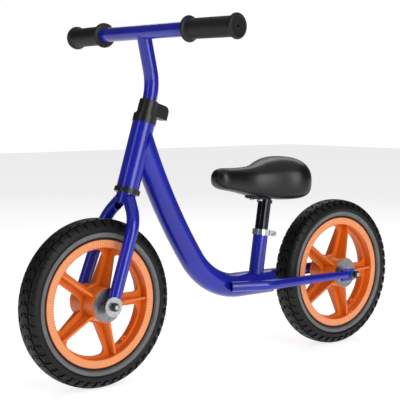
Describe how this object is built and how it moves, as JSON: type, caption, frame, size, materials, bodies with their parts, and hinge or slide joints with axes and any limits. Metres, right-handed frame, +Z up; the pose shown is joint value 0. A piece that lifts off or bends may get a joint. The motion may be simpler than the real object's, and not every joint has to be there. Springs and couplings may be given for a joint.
{
  "type": "balance bike",
  "caption": "Child's balance bike with a single bent beam frame, a straight fork, moulded five-spoke wheels on solid foam tyres, a swept handlebar and a padded saddle",
  "frame": {"origin": "on the ground, midway between the two wheels, in the bike's middle plane", "axes": "+X forward, +Y to the rider's left, +Z up"},
  "size_m": [0.875, 0.4658, 0.631],
  "materials": {
    "frame_paint": "gloss cobalt blue",
    "black_steel": "satin black",
    "bearing_steel": "ground",
    "zinc_steel": "zinc plated",
    "disc_steel": "pressed, satin",
    "clamp_alloy": "polished",
    "post_chrome": "dark chrome plate",
    "rim_plastic": "moulded orange, semi-gloss",
    "tyre_foam": "matte foam rubber",
    "grip_rubber": "ribbed, matte",
    "saddle_plastic": "matte black",
    "saddle_cover": "satin black cover"
  },
  "bodies": {
    "frame": {"head_tube": "frame_paint", "down_tube": "frame_paint", "beam_end_cap": "frame_paint", "seat_tube": "frame_paint", "chain_stay_left": "frame_paint", "chain_stay_right": "frame_paint", "dropout_left": "frame_paint", "dropout_right": "frame_paint", "upper_headset_cup": "black_steel", "lower_headset_cup": "black_steel", "upper_headset_bearing": "bearing_steel", "lower_headset_bearing": "bearing_steel", "seat_clamp": "clamp_alloy", "seat_clamp_bolt": "zinc_steel", "seat_clamp_nut": "zinc_steel", "rear_axle": "zinc_steel", "rear_axle_spacers": "zinc_steel", "rear_axle_washers": "zinc_steel", "rear_axle_nuts": "black_steel"},
    "fork": {"steerer_tube": "frame_paint", "fork_crown": "frame_paint", "fork_leg_left": "frame_paint", "fork_leg_right": "frame_paint", "fork_end_left": "frame_paint", "fork_end_right": "frame_paint", "crown_race": "bearing_steel", "headset_top_cap": "black_steel", "stem_clamp": "black_steel", "stem_clamp_bolt": "zinc_steel", "front_axle": "zinc_steel", "front_axle_spacers": "zinc_steel", "front_axle_washers": "zinc_steel", "front_axle_nuts": "black_steel"},
    "handlebar": {"stem_tube": "frame_paint", "handlebar": "frame_paint", "grip_left": "grip_rubber", "grip_right": "grip_rubber"},
    "front_wheel": {"front_tyre": "tyre_foam", "front_rim": "rim_plastic", "front_hub_discs": "disc_steel", "front_bearings": "bearing_steel", "front_hub_sleeve": "zinc_steel"},
    "rear_wheel": {"rear_tyre": "tyre_foam", "rear_rim": "rim_plastic", "rear_hub_discs": "disc_steel", "rear_bearings": "bearing_steel", "rear_hub_sleeve": "zinc_steel"},
    "seat": {"seat_post": "post_chrome", "saddle_plate": "black_steel", "saddle_screws": "zinc_steel", "saddle_base": "saddle_plastic", "saddle_cover": "saddle_cover"}
  },
  "joints": [
    {"name": "steering", "type": "hinge", "parent": "frame", "child": "fork", "pos_m": [0.28387, 0, 0.14359], "axis": [-0.3007, 0, 0.9537], "continuous": true},
    {"name": "handlebar_height", "type": "slide", "parent": "fork", "child": "handlebar", "axis": [-0.3007, 0, 0.9537], "range_m": [0, 0.06]},
    {"name": "front_wheel_spin", "type": "hinge", "parent": "fork", "child": "front_wheel", "pos_m": [0.2915, 0, 0.146], "axis": [0, 1, 0], "continuous": true},
    {"name": "rear_wheel_spin", "type": "hinge", "parent": "frame", "child": "rear_wheel", "pos_m": [-0.2915, 0, 0.146], "axis": [0, 1, 0], "continuous": true},
    {"name": "saddle_height", "type": "slide", "parent": "frame", "child": "seat", "axis": [-0.1599, 0, 0.9871], "range_m": [-0.035, 0.035]}
  ]
}
